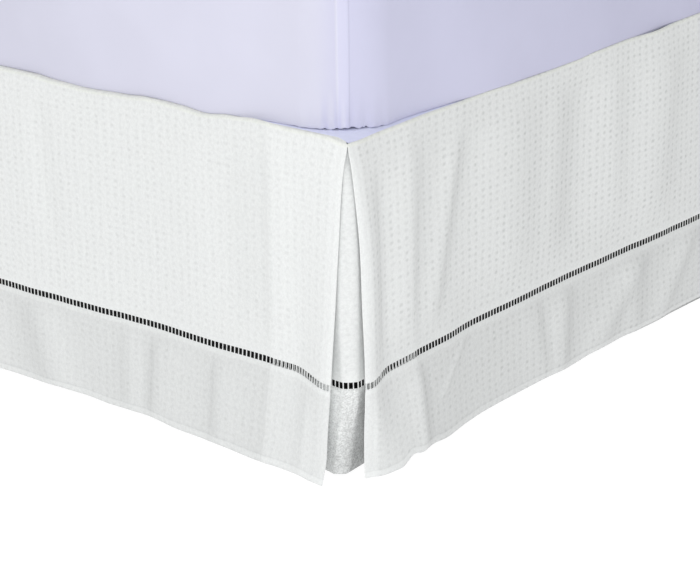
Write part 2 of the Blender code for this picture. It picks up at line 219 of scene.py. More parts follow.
CREASES_SIDE_RIGHT = table(Crease, (
    (0.047, 0.002, 0.01, 0.03, -0.0026, 0.118, 0.36),
    (0.105, 0.026, 0.03, 0.012, 0.0024, 0.122, 0.379),
    (0.165, 0.059, 0.02, 0.01, 0.003, 0.125, 0.368),
    (0.192, 0.059, 0.014, 0.034, -0.002, 0.125, 0.36),
    (0.295, 0, 0.06, 0.05, 0.005, 0.13, 0.378),
    (0.378, 0.016, 0.022, 0.03, 0.002, 0.13, 0.378),
    (0.43, 0.01, 0.034, 0.04, -0.0038, 0.13, 0.378),
    (0.505, -0.01, 0.02, 0.018, 0.0016, 0.14, 0.376),
    (0.6, 0.04, 0.06, 0.04, 0.0052, 0.125, 0.379),
    (0.108, -0.004, 0.022, 0.011, 0.0036, -0.01, 0.112),
    (0.178, 0.07, 0.007, 0.007, 0.0018, 0.045, 0.113),
    (0.35, -0.02, 0.03, 0.012, 0.0026, -0.006, 0.114),
    (0.397, 0.02, 0.025, 0.017, 0.0048),
    (0.514, 0.118, 0.036, 0.028, 0.0062, -0.006, 0.114),
    (0.552, 0, 0.024, 0.02, 0.0034),
    (0.644, 0.09, 0.03, 0.02, 0.0056, -0.006, 0.114),
    (0.77, 0.06, 0.034, 0.022, 0.0056, -0.006, 0.114),
    (0.96, -0.04, 0.022, 0.03, 0.005),
    (1.12, 0.08, 0.04, 0.026, 0.006, -0.006, 0.114),
    (1.4, 0.05, 0.03, 0.018, 0.005),
    (1.59, -0.06, 0.028, 0.034, 0.005, -0.006, 0.114),
    (1.9, 0.04, 0.03, 0.018, 0.0044),
    (0.9, 0.03, 0.05, 0.03, 0.0036, 0.14, 0.376),
    (1.3, -0.02, 0.04, 0.06, 0.004, 0.14, 0.376),
    (1.7, 0.03, 0.06, 0.04, 0.004, 0.14, 0.376),
))
CREASES_SIDE_LEFT = table(Crease, (
    (0.047, 0.002, 0.01, 0.03, -0.0026, 0.118, 0.36),
    (0.105, 0.02, 0.03, 0.012, 0.0022, 0.122, 0.379),
    (0.19, 0.04, 0.024, 0.012, 0.003, 0.125, 0.368),
    (0.34, 0.01, 0.06, 0.05, 0.0046, 0.13, 0.378),
    (0.65, -0.01, 0.04, 0.05, 0.0044, 0.13, 0.378),
    (1.15, 0.02, 0.06, 0.04, 0.004, 0.13, 0.378),
    (1.6, 0.01, 0.05, 0.06, 0.0044, 0.13, 0.378),
    (0.108, -0.004, 0.022, 0.011, 0.0034, -0.01, 0.112),
    (0.26, 0.05, 0.024, 0.016, 0.0044),
    (0.43, -0.06, 0.026, 0.034, 0.0056, -0.006, 0.114),
    (0.7, 0.08, 0.038, 0.028, 0.006, -0.006, 0.114),
    (0.9, 0.04, 0.024, 0.016, 0.0044),
    (1.2, -0.07, 0.03, 0.036, 0.0056, -0.006, 0.114),
    (1.54, 0.06, 0.032, 0.022, 0.005),
    (1.86, 0.05, 0.034, 0.024, 0.005, -0.006, 0.114),
))
CREASE_TONE = {"foot": 0.34, "side": 0.28}  # painted highlight and shade for a flank's slope
ROLL_SOFT = 0.004            # how softly the rolled strip turns
UNDERLAY = 0.0017            # a panel lies over the gusset's leg, and steps down beyond it
UNDERLAY_EDGE = 0.004        # how far past the leg's end, and under the seam, the step lies
UNDERLAY_STEP = 0.010        # length of the step
UNDERLAY_FADE = 0.020        # height in which it fades in under the seam

# Waves of the top edge over or under the seam line, of the face at the hemstitch row, and of
# the hem over its lowest line: pairs of a distance from the first corner and a rise
TOP_WAVES = {
    "foot": ((0, -0.0026), (0.012, -0.001), (0.024, 0.001), (0.08, 0.001), (0.128, 0.003),
             (0.158, 0.0008), (0.2, -0.0034), (0.235, -0.0006), (0.28, 0.0008), (0.32, -0.0024),
             (0.378, -0.0042), (0.425, -0.0026), (0.465, 0.0006), (0.52, 0), (0.7, -0.002),
             (0.9, 0.001), (1.1, -0.0016), (1.3, 0.0006), (1.6, 0)),
    "side": ((0, -0.0026), (0.03, -0.0034), (0.08, -0.0026), (0.14, -0.0015), (0.25, -0.0012),
             (0.3, -0.0026), (0.37, -0.0034), (0.42, -0.0028), (0.465, -0.0003), (0.52, 0),
             (0.58, -0.0014), (0.63, -0.0002), (0.7, 0), (0.95, -0.0018), (1.2, 0), (1.45, -0.0016),
             (1.75, 0), (2.1, -0.0006)),
}
ROW_WAVES = {
    "foot": ((0.18, 0), (0.282, -0.002), (0.33, -0.0018), (0.37, 0.0014), (0.406, 0.0012),
             (0.44, -0.0008), (0.485, 0.0022), (0.56, 0.0012), (0.7, -0.001), (1.6, 0)),
    "side": ((0.13, 0), (0.212, -0.0028), (0.245, -0.0026), (0.276, -0.0036), (0.314, -0.0048),
             (0.38, -0.0044), (0.407, -0.0042), (0.434, -0.0028), (0.467, -0.003), (0.499, -0.004),
             (0.537, -0.002), (0.588, -0.001), (0.627, 0.002), (0.668, 0.0034), (0.74, 0.001),
             (1, -0.0012), (1.4, 0.001), (2.1, 0)),
}
HEM_WAVES = {
    "foot": ((0, 0.001), (0.02, 0.0018), (0.04, 0.0034), (0.08, 0.0022), (0.12, 0), (0.17, 0.0014),
             (0.25, 0.0014), (0.29, 0.003), (0.32, 0.0026), (0.36, 0.0006), (0.4, 0.0022),
             (0.43, 0.0026), (0.47, 0.0012), (0.6, 0.0014), (0.85, 0.0004), (1.6, 0.001)),
    "side": ((0, 0), (0.022, -0.001), (0.048, 0.0008), (0.076, 0.0086), (0.1, 0.0038), (0.12, 0.0032),
             (0.16, -0.0012), (0.2, 0), (0.24, 0.001), (0.3, 0.0018), (0.38, 0.002), (0.42, 0.0012),
             (0.46, 0.0034), (0.52, 0.004), (0.56, 0.0022), (0.66, 0.0012), (0.9, 0.0016),
             (1.2, 0.0006), (1.5, 0.0018), (2.1, 0.0006)),
}

Side = namedtuple("Side", "name kind corner along outward length first last folds creases")
SIDES = (
    Side("foot_panel", "foot", (HALF_WIDTH, -HALF_LENGTH, 0), (-1, 0, 0), (0, -1, 0),
         2 * HALF_WIDTH, SLIT_FOOT, SLIT_FOOT, FOLDS_FOOT, CREASES_FOOT),
    Side("side_panel_right", "side", (HALF_WIDTH, -HALF_LENGTH, 0), (0, 1, 0), (1, 0, 0),
         2 * HALF_LENGTH, SLIT_SIDE, HEAD_END, FOLDS_SIDE_RIGHT, CREASES_SIDE_RIGHT),
    Side("side_panel_left", "side", (-HALF_WIDTH, -HALF_LENGTH, 0), (0, 1, 0), (-1, 0, 0),
         2 * HALF_LENGTH, SLIT_SIDE, HEAD_END, FOLDS_SIDE_LEFT, CREASES_SIDE_LEFT),
)


# ---------------------------------------------------------------- shapes of the cloth

def ease(amount):
    """0 to 1, with no slope at either end."""
    amount = np.clip(amount, 0.0, 1.0)
    return amount * amount * (3.0 - 2.0 * amount)


def read(rows, field, height):
    """A table's field at these heights, on a smooth curve through its rows."""
    places = np.array([row.height for row in rows])[::-1]
    values = np.array([getattr(row, field) for row in rows])[::-1]
    slopes = np.gradient(values, places)
    height = np.clip(height, places[0], places[-1])
    index = np.clip(np.searchsorted(places, height, side="right") - 1, 0, len(places) - 2)
    span = places[index + 1] - places[index]
    t = (height - places[index]) / span
    return (values[index] * (1 + 2 * t) * (1 - t) ** 2 + values[index + 1] * t * t * (3 - 2 * t)
            + span * (slopes[index] * t * (1 - t) ** 2 - slopes[index + 1] * t * t * (1 - t)))


def wave_at(waves, along):
    """A wave table's rise at these distances."""
    places, rises = np.array(waves).T
    index = np.clip(np.searchsorted(places, along, side="right") - 1, 0, len(places) - 2)
    share = ease((along - places[index]) / (places[index + 1] - places[index]))
    return rises[index] + (rises[index + 1] - rises[index]) * share


def sag_at(x, y):
    """How far the edge of the bed's top sags at these places in plan."""
    from_side, from_foot = HALF_WIDTH - np.abs(x), y + HALF_LENGTH
    sags = []
    for kind, along, set_back in (("foot", from_side, from_foot), ("side", from_foot, from_side)):
        sag = np.maximum(-wave_at(TOP_WAVES[kind], np.maximum(along, 0.0)), 0.0)
        sags.append(sag * ease((0.018 - set_back) / 0.012))
    return np.maximum(*sags)


def by_height(height, seam, ladder, hem):
    """A push given at the seam, the hemstitch row and the hem, read at these heights."""
    return np.interp(height, (HEM, LADDER, DROP), (hem, ladder, seam))


def crease_push(creases, along, height):
    """The outward push of the finer ridges and troughs."""
    push = np.zeros(np.broadcast(along, height).shape)
    for crease in creases:
        share = (height - crease.low) / (crease.high - crease.low)
        middle = crease.place + crease.slant * (share - 0.5)
        ends = ease(share / 0.25) * ease((1 - share) / 0.25)
        width = np.where(along < middle, crease.near, crease.far)
        push = push + crease.depth * ends * np.exp(-((along - middle) / width) ** 2)
    return push


def painted_crease_shading(side, along, height):
    """Painted highlight and shade on the finer folds: their flank towards the corner is painted lighter,
    the far flank darker.
    """
    step = 0.002
    before, after = (crease_push(side.creases, along + way, height) for way in (-step, step))
    return CREASE_TONE[side.kind] * (after - before) / (2 * step)


def slit_ends(side, along):
    """(sign, table, distance to that end) for a panel's two ends."""
    return (1, side.first, along), (-1, side.last, side.length - along)


def corner_distance(side, along):
    """Distance from the corner that a panel's waves count from: the nearest, on the foot panel."""
    return np.minimum(along, side.length - along) if side.kind == "foot" else along


def outward(side, along, height):
    """How far a panel's face stands out from the seam line."""
    push = by_height(height, 0.0, SLACK_LADDER, SLACK_HEM)
    for _, rows, distance in slit_ends(side, along):
        curl, reach, flare, strip, roll = (read(rows, field, height)
                                           for field in ("curl", "reach", "flare", "strip", "roll"))
        push = push + curl * ease(1 - distance / reach)
        push = push + flare * ease(1 - distance / FLARE_REACH[side.kind])
        over = strip - distance
        push = push - roll * (over + np.sqrt(over ** 2 + ROLL_SOFT ** 2)) / 2
        if rows is not HEAD_END:
            under = ease((GUSSET_LEG + UNDERLAY_EDGE - distance) / UNDERLAY_STEP)
            push = push + UNDERLAY * under * ease((DROP - UNDERLAY_EDGE - height) / UNDERLAY_FADE)
    for fold in side.folds:
        middle = fold.place + fold.lean * (DROP / 2 - height) / DROP
        shape = np.exp(-((along - middle) / fold.width) ** 2)
        depths = [depth * part for depth, part in zip((fold.seam, fold.ladder, fold.hem), FOLD_DEPTH)]
        push = push + shape * by_height(height, *depths)
    waves = wave_at(ROW_WAVES[side.kind], corner_distance(side, along))
    return push + waves * by_height(height, 0.0, 1.0, 0.2) + crease_push(side.creases, along, height)


def slit_distance(side, along):
    """Distance to the nearest slit, in metres; the head end isn't one."""
    return np.minimum.reduce([distance for _, rows, distance in slit_ends(side, along)
                              if rows is not HEAD_END])


def panel_points(side, along, height, set_back=0.0):
    """Points of a panel's outer face. The turned-in cloth is mitred at the corners."""
    along, height, set_back = np.broadcast_arrays(along, height, set_back)
    shift = np.zeros(along.shape)
    for sign, rows, distance in slit_ends(side, along):
        mitre = 0.0 if rows is HEAD_END else set_back
        inward = read(rows, "edge", height) + mitre
        shift = shift + sign * inward * np.clip(1 - distance / SHIFT_REACH, 0, None)
    push = outward(side, along, height) - set_back
    points = np.zeros((*along.shape, 3)) + np.array(side.corner)
    points += np.array(side.along) * (along + shift)[..., None]
    points += np.array(side.outward) * push[..., None]
    points[..., 2] += height
    return points


# ---------------------------------------------------------------- building meshes

class Pile:
    """Gathers vertices, faces, weave coordinates and painted light and shade for one mesh."""

    def __init__(self):
        self.points, self.weave, self.shade, self.faces = [], [], [], []
        self.count = 0

    def add(self, points, faces, weave, shade=None):
        """points and weave (n, 3), faces lists of indices into them, shade (n) or nothing."""
        self.points.append(points)
        self.weave.append(weave)
        self.shade.append(np.zeros(len(points)) if shade is None else shade)
        self.faces.extend((np.asarray(face) + self.count).tolist() for face in faces)
        self.count += len(points)

    def finish(self, name, material, sharp=50):
        """The mesh as an object, smooth but for edges sharper than that many degrees."""
        mesh = bpy.data.meshes.new(name)
        mesh.from_pydata(np.concatenate(self.points).tolist(), [], self.faces)
        weave = mesh.attributes.new("weave", "FLOAT_VECTOR", "POINT")
        weave.data.foreach_set("vector", np.concatenate(self.weave).astype(np.float32).ravel())
        shade = mesh.attributes.new("shade", "FLOAT", "POINT")
        shade.data.foreach_set("value", np.concatenate(self.shade).astype(np.float32))
        mesh.shade_smooth()
        mesh.set_sharp_from_angle(angle=math.radians(sharp))
        mesh.materials.append(material)
        made = bpy.data.objects.new(name, mesh)
        bpy.context.scene.collection.objects.link(made)
        return made


def stacked(*parts):
    """Arrays or numbers as the coordinates of an array of points."""
    return np.stack(np.broadcast_arrays(*parts), -1)


def grid_faces(rows, columns, start=0, flip=False):
    """Quads of a grid of points numbered row by row."""
    first = (np.arange(rows - 1)[:, None] * columns + np.arange(columns - 1)).ravel() + start
    quads = stacked(first, first + 1, first + columns + 1, first + columns)
    return quads[:, ::-1] if flip else quads


def ring_faces(rings, around):
    """Point numbers of closed rings, each one's neighbour round its ring, and the quads between."""
    index = np.arange(rings * around).reshape(rings, around)
    following = np.roll(index, -1, axis=1)
    quads = np.stack((index[:-1], following[:-1], following[1:], index[1:]), -1).reshape(-1, 4)
    return index, following, quads


def grid_normals(points):
    """Unit normals of a grid: across its columns by down its rows."""
    down = np.gradient(points, axis=0)
    across = np.gradient(points, axis=1)
    normals = np.cross(across, down)
    return normals / np.linalg.norm(normals, axis=-1, keepdims=True)


def rim_loop(rows, columns):
    """Indices round the border of a grid, once, and each one's neighbour inside."""
    grid = np.arange(rows * columns).reshape(rows, columns)
    loop = np.concatenate((grid[0, :-1], grid[:-1, -1], grid[-1, :0:-1], grid[:0:-1, 0]))
    inner = np.concatenate((grid[1, :-1], grid[:-1, -2], grid[-2, :0:-1], grid[:0:-1, 1]))
    return loop, inner


def add_sheet(pile, outer, away, thickness, weave, shade=None):
    """Adds a sheet of cloth with a soft edge: outer is its face's grid of points."""
    rows, columns = outer.shape[:2]
    size = rows * columns
    normals = grid_normals(outer)
    turned = (normals.reshape(-1, 3) @ np.array(away)).sum() < 0
    normals = -normals if turned else normals
    front, back = outer.reshape(-1, 3), (outer - normals * thickness).reshape(-1, 3)
    loop, inner = rim_loop(rows, columns)
    out = front[loop] - front[inner]
    out /= np.maximum(np.linalg.norm(out, axis=1, keepdims=True), 1e-9)
    rim = (front[loop] + back[loop]) / 2 + out * thickness / 2
    following = np.roll(loop, -1)
    ring = np.arange(len(loop)) + 2 * size
    ring_next = np.roll(ring, -1)
    faces = np.concatenate((
        grid_faces(rows, columns, 0), grid_faces(rows, columns, size, True),
        stacked(loop, ring, ring_next, following),
        stacked(ring, loop + size, following + size, ring_next)))
    woven = np.asarray(weave).reshape(-1, 3)
    tone = np.zeros(size) if shade is None else np.asarray(shade).ravel()
    pile.add(np.concatenate((front, back, rim)), faces[:, ::-1] if turned else faces,
             *(np.concatenate((part, part, part[loop])) for part in (woven, tone)))


def finish_piece(made, node):
    """Lets a piece ride with the bed and stand for its node."""
    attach(made, "root")
    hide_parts(node)


def face_frame(points, away):
    """(place, unit tangent, unit normal on the side that faces away) of three points of a face."""
    tangent = points[2] - points[0]
    tangent /= np.linalg.norm(tangent)
    normal = np.cross(tangent, (0, 0, 1))
    normal *= math.copysign(1, normal @ np.array(away))
    return points[1], tangent, normal


def arc(inset, deep, middle, rise, first, last, count):
    """(inset, height) points of part of an ellipse about (inset, middle), by its turn in radians."""
    turns = np.linspace(first, last, count)
    return list(zip(inset - deep * np.sin(turns), middle - rise * np.cos(turns)))


# ---------------------------------------------------------------- the skirt

def heights_between(high, low, pitch):
    """Heights from high to low, about a pitch apart."""
    return np.linspace(high, low, max(2, round((high - low) / pitch) + 1))


def panel_columns(side):
    """Distances along a panel, a pitch of the hemstitch apart, and close at its hems."""
    count = round(side.length / LADDER_PITCH)
    even = np.linspace(0, side.length, count + 1)
    close = np.array((0.0, 0.0012, 0.0024, 0.0036, SIDE_HEM - 0.0005, SIDE_HEM + 0.0005))
    between = even[(even > CLOSE_COLUMNS) & (even < side.length - CLOSE_COLUMNS)]
    return np.sort(np.concatenate((close, side.length - close, between)))


def hem_rise(side, along, height):
    """How far the turned hems stand proud of the cloth."""
    low = ease((HEM + HEM_FOLD - height) / FOLD_SOFT + 0.5)
    beside = np.zeros_like(low + along)
    for _, _, distance in slit_ends(side, along):
        beside = np.maximum(beside, ease((SIDE_HEM - distance) / 0.0010 + 0.5))
    return HEM_RISE * np.maximum(low, beside)


def weave_of(side, along, height):
    """(along, height, distance to the nearest slit) at each point of a grid."""
    return stacked(along, height, slit_distance(side, along))


def upper_rows(kind):
    """(set back, height) from the deck's seam over the edge to the hemstitch row."""
    turn = SEAM_TURN[kind]
    radius = min(EDGE_RADIUS, turn - 0.0006)
    centre = DROP - radius
    straight = heights_between(centre, LADDER + LADDER_HALF, ROW_PITCH)[1:]
    return np.array([(turn, DROP), ((turn + radius) / 2, DROP),
                     *arc(radius, radius, centre, -radius, 0, math.pi / 2, 5),
                     *((0.0, height) for height in straight)])


def move_edges(side, points, along, height, set_back):
    """Adds the waves of the top edge and of the hem to a panel's points."""
    distance = corner_distance(side, along)
    lip = np.maximum(wave_at(TOP_WAVES[side.kind], distance), 0.0) * ease((0.006 - set_back) / 0.0025)
    sag = sag_at(points[..., 0], points[..., 1])
    points[..., 2] += (lip - sag) * ease((height - DROP + 0.045) / 0.040)
    share = ease((LADDER - 0.010 - height) / (LADDER - 0.010 - HEM))
    points[..., 2] += wave_at(HEM_WAVES[side.kind], distance) * share


def band_heights(hem):
    """Heights down a band, with a close pair where its narrow hem begins."""
    fold = hem + HEM_FOLD
    upper = heights_between(LADDER - LADDER_HALF, fold + FOLD_PAIR, ROW_PITCH)
    return np.concatenate((upper, (fold - FOLD_PAIR, hem + HEM_FOLD / 2, hem)))


def add_bars(pile, frame_at, places, width_scale=1.0):
    """The white bars of the hemstitch. frame_at(place, height) gives a point and its frame."""
    turn = np.arange(BAR_SIDES) / BAR_SIDES * 2 * math.pi
    across, deep = np.cos(turn) * BAR_WIDTH / 2, np.sin(turn) * BAR_DEPTH / 2
    index, _, quads = ring_faces(len(BAR_SHAPE), BAR_SIDES)
    faces = [*quads.tolist(), index[0, ::-1].tolist(), index[-1].tolist()]
    for place in places:
        vary = 1 + 0.12 * math.sin(place * 5171.3)      # no two bars are quite alike
        rings = []
        for share, width in BAR_SHAPE:
            point, tangent, normal = frame_at(place, LADDER + LADDER_HALF * share)
            rings.append(point - normal * PANEL_CLOTH * BAR_SINK + np.outer(deep, normal)
                         + np.outer(across * width * vary * width_scale, tangent))
        points = np.concatenate(rings)
        wound = -1 if np.cross(tangent, normal)[2] > 0 else 1
        pile.add(points, [face[::wound] for face in faces], np.tile((place, LADDER, 1.0), (len(points), 1)))


def make_panel(side, material):
    """One hanging panel: its upper cloth, its hemstitch row and its band."""
    pile = Pile()
    along = panel_columns(side)[None, :]
    rows, band = upper_rows(side.kind), band_heights(HEM)[:, None]
    for set_back, height, thickness in ((rows[:, :1], rows[:, 1:], PANEL_CLOTH), (0.0, band, BAND_CLOTH)):
        rise = hem_rise(side, along, height) * (set_back == 0)
        points = panel_points(side, along, height, set_back) + np.array(side.outward) * rise[..., None]
        move_edges(side, points, along, height, set_back)
        add_sheet(pile, points, np.array(side.outward) + (0, 0, 0.3), thickness,
                  weave_of(side, along, height), painted_crease_shading(side, along, height))

    def frame_at(place, height):
        """The frame of the panel's face at this distance along and height."""
        near = np.array((place - 0.001, place, place + 0.001))
        return face_frame(panel_points(side, near, height), side.outward)

    count = round(side.length / LADDER_PITCH)
    add_bars(pile, frame_at, np.linspace(0, side.length, count + 1)[1:-1])
    ends = [place for _, rows, place in slit_ends(side, END_BAR) if rows is not HEAD_END]
    add_bars(pile, frame_at, ends, END_BAR_SCALE)
    panel = pile.finish(side.name + "_cloth", material)
    finish_piece(panel, side.name)


def gusset_outline(x_sign, height):
    """The gusset's outer face in plan at one height, as (past side, past foot) points.

    Three runs of points: the leg behind the foot panel, the corner, and the other leg.
    """
    cloth = PANEL_CLOTH if height > LADDER else BAND_CLOTH
    near = ease(1 - abs(height - LADDER) / CLOSE_REACH)
    t = np.concatenate((np.linspace(GUSSET_LEG, 0.026, 30), np.linspace(0.024, 0.0, 8)))
    legs = {}
    for side in SIDES:
        if side.kind == "foot" or side.corner[0] * x_sign > 0:
            stand = float(read(GUSSET_BENDS, side.kind, height))
            push = stand * ease(1 - t / GUSSET_REACH) - SOLID_CLOTH - GAP
            at_far_end = side.kind == "foot" and x_sign < 0
            face = outward(side, side.length - t if at_far_end else t, height) - cloth - 2 * GAP
            behind = ease((t - LEG_CLOSE[side.kind]) / 0.015 + 1)
            legs[side.kind] = push + (face - push) * near * behind
    dive = float(read(GUSSET_BENDS, "dive", height))
    legs["side"] -= dive * np.minimum(t / GUSSET_CREASE, 1) * ease((GUSSET_LEG - t) / 0.03)
    across, deep, drawn = (float(read(GUSSET_BENDS, field, height))
                           for field in ("across", "deep", "drawn"))
    foot, side = legs["foot"][-1], legs["side"][-1]
    turn = np.linspace(0, math.pi / 2, 19)
    bend = stacked(side - across + across * np.sin(turn) ** drawn,
                   foot - deep + deep * np.cos(turn) ** drawn)
    shown = t > across - side + 0.002
    shown_side = t > deep - foot + 0.001
    foot_leg = stacked(-t, legs["foot"])[shown]
    side_leg = stacked(legs["side"], -t)[shown_side][::-1]
    return foot_leg, np.concatenate((foot_leg[-1:], bend, side_leg[:1])), side_leg


def gusset_plan(x_sign, height, share):
    """Points at these shares of the gusset's width, and their distance from the crease.

    A share runs from 0 to 3, one for each run of the outline.
    """
    reach = 0.0
    share = np.asarray(share, float)
    plan, at = np.zeros((*share.shape, 2)), np.zeros(share.shape)
    for index, run in enumerate(gusset_outline(x_sign, height)):
        lengths = np.concatenate(((0,), np.cumsum(np.linalg.norm(np.diff(run, axis=0), axis=1))))
        part = np.clip(share - index, 0, 1) * lengths[-1]
        inside = (share >= index) & (share <= index + 1)
        for axis in (0, 1):
            plan[inside, axis] = np.interp(part, lengths, run[:, axis])[inside]
        at[inside] = (reach + part)[inside]
        reach += lengths[-1]
        if index == 1:
            crease = reach
    return plan, at - crease


def painted_gusset_shading(plan, at, height):
    """The gusset's painted light and shade.

    Level with the row of holes it has painted shade behind the panels and painted light beside them. Its
    band has painted shade that grows downwards, painted light on the left, and painted shade past the
    crease.
    """
    behind = ease((-plan[:, 0] - 0.033) / 0.008) + ease((-plan[:, 1] - 0.027) / 0.006)
    by_row = ease((0.022 - abs(height - LADDER)) / 0.008)
    beside = (ease((-plan[:, 0] - 0.012) / 0.006) + ease((-plan[:, 1] - 0.012) / 0.006)) * (1 - behind)
    in_band = ease((LADDER - 0.004 - height) / 0.005)
    past = ease((at + 0.001) / 0.003)
    further = ease(at / 0.024)
    left = ease((0.004 - plan[:, 0]) / 0.012) * in_band * (1 - 0.55 * ease((0.065 - height) / 0.050))
    fading = (1 - past) * in_band * (0.11 - 0.25 * ease((LADDER - 0.010 - height) / 0.080))
    past = past * ((0.12 - 0.14 * further) * ease((LADDER - 0.015 - height) / 0.020)
                   + (0.26 + 0.10 * further) * ease((0.060 - height) / 0.040)) * (1 - behind * by_row)
    return by_row * (0.12 * beside - 0.42 * behind) + 0.26 * left + fading - past


def make_gusset(name, x_sign, material):
    """The gusset behind the slit at one foot corner."""
    pile = Pile()
    away = (x_sign, -1, 0)
    shares = np.concatenate([run + np.arange(count) / count for run, count in enumerate(GUSSET_STEPS)]
                            + [(len(GUSSET_STEPS),)])

    def place(plan, height):
        """Plan points and a height as points of the row frame."""
        return stacked(x_sign * (HALF_WIDTH + plan[..., 0]), -HALF_LENGTH - plan[..., 1], height)

    def add_cloth(heights, thickness, tucks=()):
        """One sheet down these heights. tucks are (how far in, height) of its turned-in edge."""
        points, woven, tones = [], [], []
        edge = [(inward, over, heights[0]) for inward, over in tucks]
        for inward, over, height in edge + [(0.0, height, height) for height in heights]:
            plan, at = gusset_plan(x_sign, height, shares)
            behind = np.array((-0.05, -0.05)) - plan
            behind /= np.linalg.norm(behind, axis=1, keepdims=True)
            points.append(place(plan + behind * inward, over))
            woven.append(stacked(at, height, 1.0))
            tones.append(painted_gusset_shading(plan, at, height))
        add_sheet(pile, np.array(points), away, thickness, woven, tones)

    def frame_at(share, height):
        """The frame of the gusset's face at this share of its width and height."""
        plan, _ = gusset_plan(x_sign, height, np.array((share - 0.03, share, share + 0.03)))
        return face_frame(place(plan, height), away)

    top = DROP - PANEL_CLOTH - 2 * GAP - GUSSET_DIP
    add_cloth(heights_between(top - GUSSET_TURN, LADDER + LADDER_HALF, ROW_PITCH), PANEL_CLOTH,
              ((0.006, top), (0.003, top), (0.0004, top - GUSSET_TURN * 0.3)))
    add_cloth(band_heights(GUSSET_HEM), BAND_CLOTH)
    _, at = gusset_plan(x_sign, LADDER, shares)
    holes = round((at[-1] - at[0]) / GUSSET_PITCH)
    bars = np.interp(np.linspace(at[0], at[-1], holes + 1)[1:-1], at, shares)
    add_bars(pile, frame_at, bars, GUSSET_BAR)
    gusset = pile.finish(name + "_cloth", material)
    finish_piece(gusset, name)


def make_deck(material):
    """The deck cloth that lies on the base, puckered a little where it shows."""
    _, high = DECK_BOX
    edge = HALF_WIDTH - SEAM_TURN["side"] - GAP
    foot = -HALF_LENGTH + SEAM_TURN["foot"] + GAP
    close = np.array((0.002, 0.004, 0.006, 0.0085, 0.011, 0.0135, 0.016))
    columns = np.concatenate((np.linspace(-edge, edge, 150), close - edge, edge - close))
    rows = np.concatenate((np.linspace(high.y, foot, 200), foot + close))
    x, y = np.meshgrid(np.sort(columns), np.sort(rows)[::-1])
    ripple = 0.00010 * np.sin(x * 61 + 2.1 * np.sin(y * 17)) * np.sin(y * 47 + 1.7 * np.sin(x * 23))
    points = stacked(x, y, high.z - 0.0003 + ripple - sag_at(x, y))
    pile = Pile()
    add_sheet(pile, points, (0, 0, 1), 0.0010, stacked(x, y, 1.0))
    deck = pile.finish("deck_sheet", material)
    finish_piece(deck, "deck")


# ---------------------------------------------------------------- mattress and base

COVER_RADIUS = 0.070         # radius of the cover's upright corners
COVER_TOP = 0.040            # radius of its top edge
COVER_CORNER = (0.0105, 0.0135)  # how far it is drawn in there from the seam line
SEAM_BAND = 0.0058           # half width of the seam up each corner
COVER_SETTLE = 0.00035       # how much lower than its solid the cover lies on the deck
# The cover's rim from its underside up: (how far in, height over the deck)
COVER_HEM = ((0.03, 0), (0.018, 0), (0.013, 0), (0.009, 0), (0.005, 0), (0.0014, 0),
             (0.0005, 0.0001), (0.0001, 0.0004), (0, 0.001), (0, 0.0028), (0, 0.0048))
# Soft waves round its sides: depth, waves per metre times two pi, start
COVER_WAVES = ((0.0007, 31, 0.6), (0.0005, 13.7, 2.0), (0.0009, 5.3, 1.0))
BASE_RADIUS = 0.045          # radius of the base's upright corners
PIPING = (0.0024, 0.0030)    # how far its piping stands out, and half the piping's height
# Where the elastic hem lifts off the deck: distance from the corner's seam, lift, width
HEM_LIFTS = ((-0.055, 0.0006, 0.006), (-0.04, 0.0008, 0.004), (-0.0265, 0.001, 0.006),
             (-0.019, 0.0018, 0.002), (-0.007, 0.0022, 0.0036), (0.0015, 0.0024, 0.0035),
             (0.0095, 0.0028, 0.0044), (0.0195, 0.0022, 0.0014), (0.024, 0.0026, 0.0018),
             (0.034, 0.0014, 0.004), (0.043, 0.0012, 0.003))


def rounded_outline(half_x, half_y, radius, arc_steps, pitch):
    """Points and outward normals round a rectangle with round corners, seen from above.

    The third result is each point's signed distance from the middle of its nearest corner.
    """
    points, normals, seams = [], [], []
    half_arc = radius * math.pi / 4
    centres = np.array(((1, -1), (1, 1), (-1, 1), (-1, -1))) * (half_x - radius, half_y - radius)
    for quarter, (centre, following) in enumerate(zip(centres, np.roll(centres, -1, axis=0))):
        turns = np.linspace(quarter - 1, quarter, arc_steps + 1) * math.pi / 2
        round_corner = stacked(np.cos(turns), np.sin(turns))
        length = np.linalg.norm(following - centre)
        steps = max(2, round(length / pitch))
        shares = np.arange(1, steps) / steps
        run = length * shares
        straight = centre + (following - centre) * shares[:, None]
        normals += [round_corner, np.tile(round_corner[-1], (steps - 1, 1))]
        points += [centre + radius * normals[-2], straight + radius * normals[-1]]
        seams += [np.linspace(-half_arc, half_arc, arc_steps + 1),
                  np.where(run < length / 2, run + half_arc, run - length - half_arc)]
    return [np.concatenate(parts) for parts in (points, normals, seams)]


def ring_body(name, rings, weave, material, sharp):
    """A closed body: rings of points from its underside to its top, capped at both ends."""
    rings, weave = np.array(rings), np.array(weave)
    index, following, quads = ring_faces(*rings.shape[:2])
    under, over = index.size, index.size + 1        # the middles of the two caps
    caps = [(under, second, first) for first, second in zip(index[0], following[0])]
    caps += [(over, first, second) for first, second in zip(index[-1], following[-1])]
    points, woven = (np.concatenate((part.reshape(-1, 3), part[[0, -1]].mean(1)))
                     for part in (rings, weave))
    pile = Pile()
    pile.add(points, [*quads, *caps], woven)
    return pile.finish(name, material, sharp)


def cover_push(points):
    """How far the cover's sides stand out from its outline away from the corners, and how far
    each point is from its corner."""
    x, y = np.abs(points).T
    along_side = HALF_LENGTH - y > HALF_WIDTH - x
    distance = np.where(along_side, HALF_LENGTH - y, HALF_WIDTH - x)
    inset = np.where(along_side, 0.0010, 0.0060)
    drawn = np.where(along_side, *COVER_CORNER)
    start, run = np.where(along_side, 0.085, 0.075), np.where(along_side, 0.150, 0.110)
    return (drawn - inset) * ease((distance - start) / run), distance


